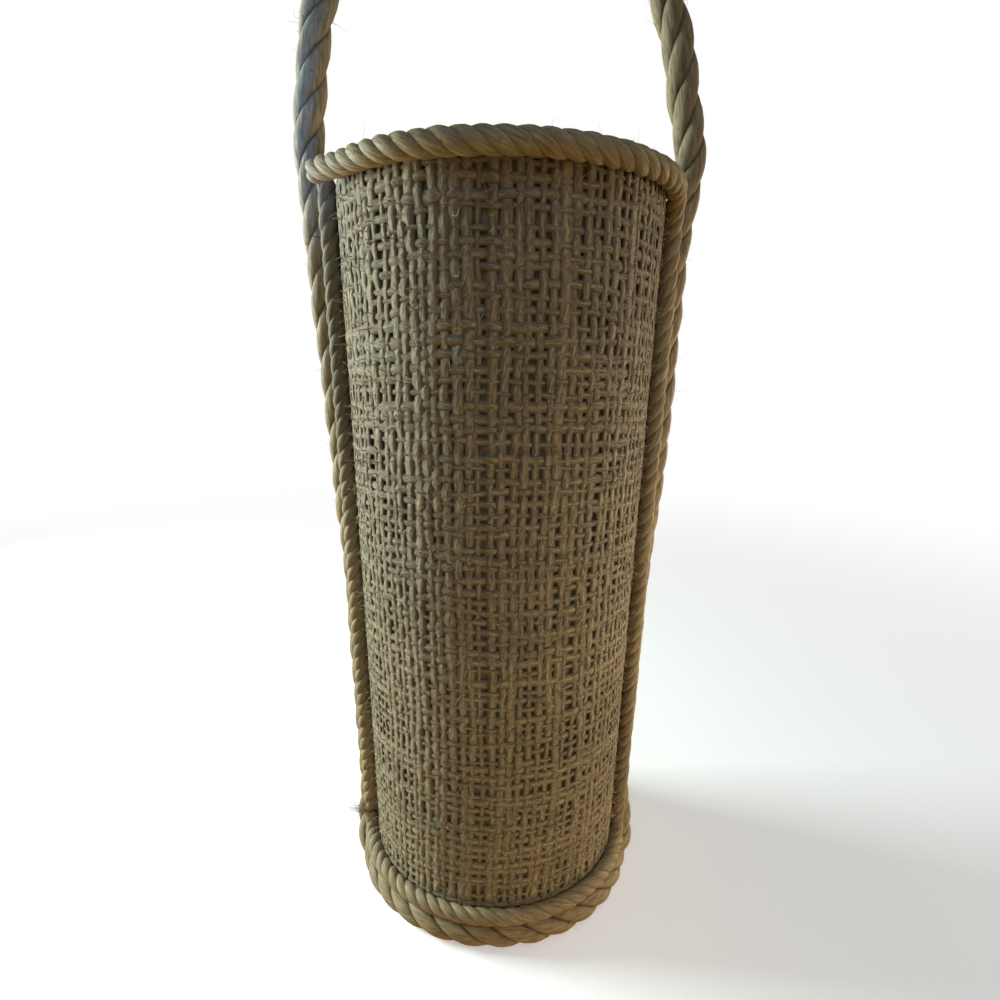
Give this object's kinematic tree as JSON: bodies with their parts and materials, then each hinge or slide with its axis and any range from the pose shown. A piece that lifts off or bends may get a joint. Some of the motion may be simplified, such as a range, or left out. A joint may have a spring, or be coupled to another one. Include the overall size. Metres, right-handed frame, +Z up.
{
  "type": "bottle carrier bag",
  "caption": "Stiff round bottle carrier: a board tube under burlap, edged with twisted jute rope, with a rope handle that tilts.",
  "frame": {"origin": "on the ground, under the axis of the tube", "axes": "+Z up along the tube, -Y towards the front panel, +X towards the right side rope"},
  "size_m": [0.1214, 0.1122, 0.3453],
  "materials": {
    "burlap": "coarse plain weave",
    "jute_rope": "three strand twisted",
    "board": "rolled and pressed paper board",
    "cotton_lining": "plain calico"
  },
  "bodies": {
    "bag": {"tube_core": "board", "base_board": "board", "front_burlap_panel": "burlap", "rear_burlap_panel": "burlap", "lining_sleeve": "cotton_lining", "lining_floor": "cotton_lining", "base_burlap_disc": "burlap", "front_trim_rope": "jute_rope", "front_trim_left_rope": "jute_rope", "rear_trim_rope": "jute_rope", "carrying_rope": "jute_rope", "rear_base_rope": "jute_rope"},
    "handle": {"handle_rope": "jute_rope"}
  },
  "joints": [
    {"name": "handle_tilt", "type": "hinge", "parent": "bag", "child": "handle", "pos_m": [0, 0, 0.2538], "axis": [1, 0, 0], "range_deg": [-90, 90]}
  ]
}
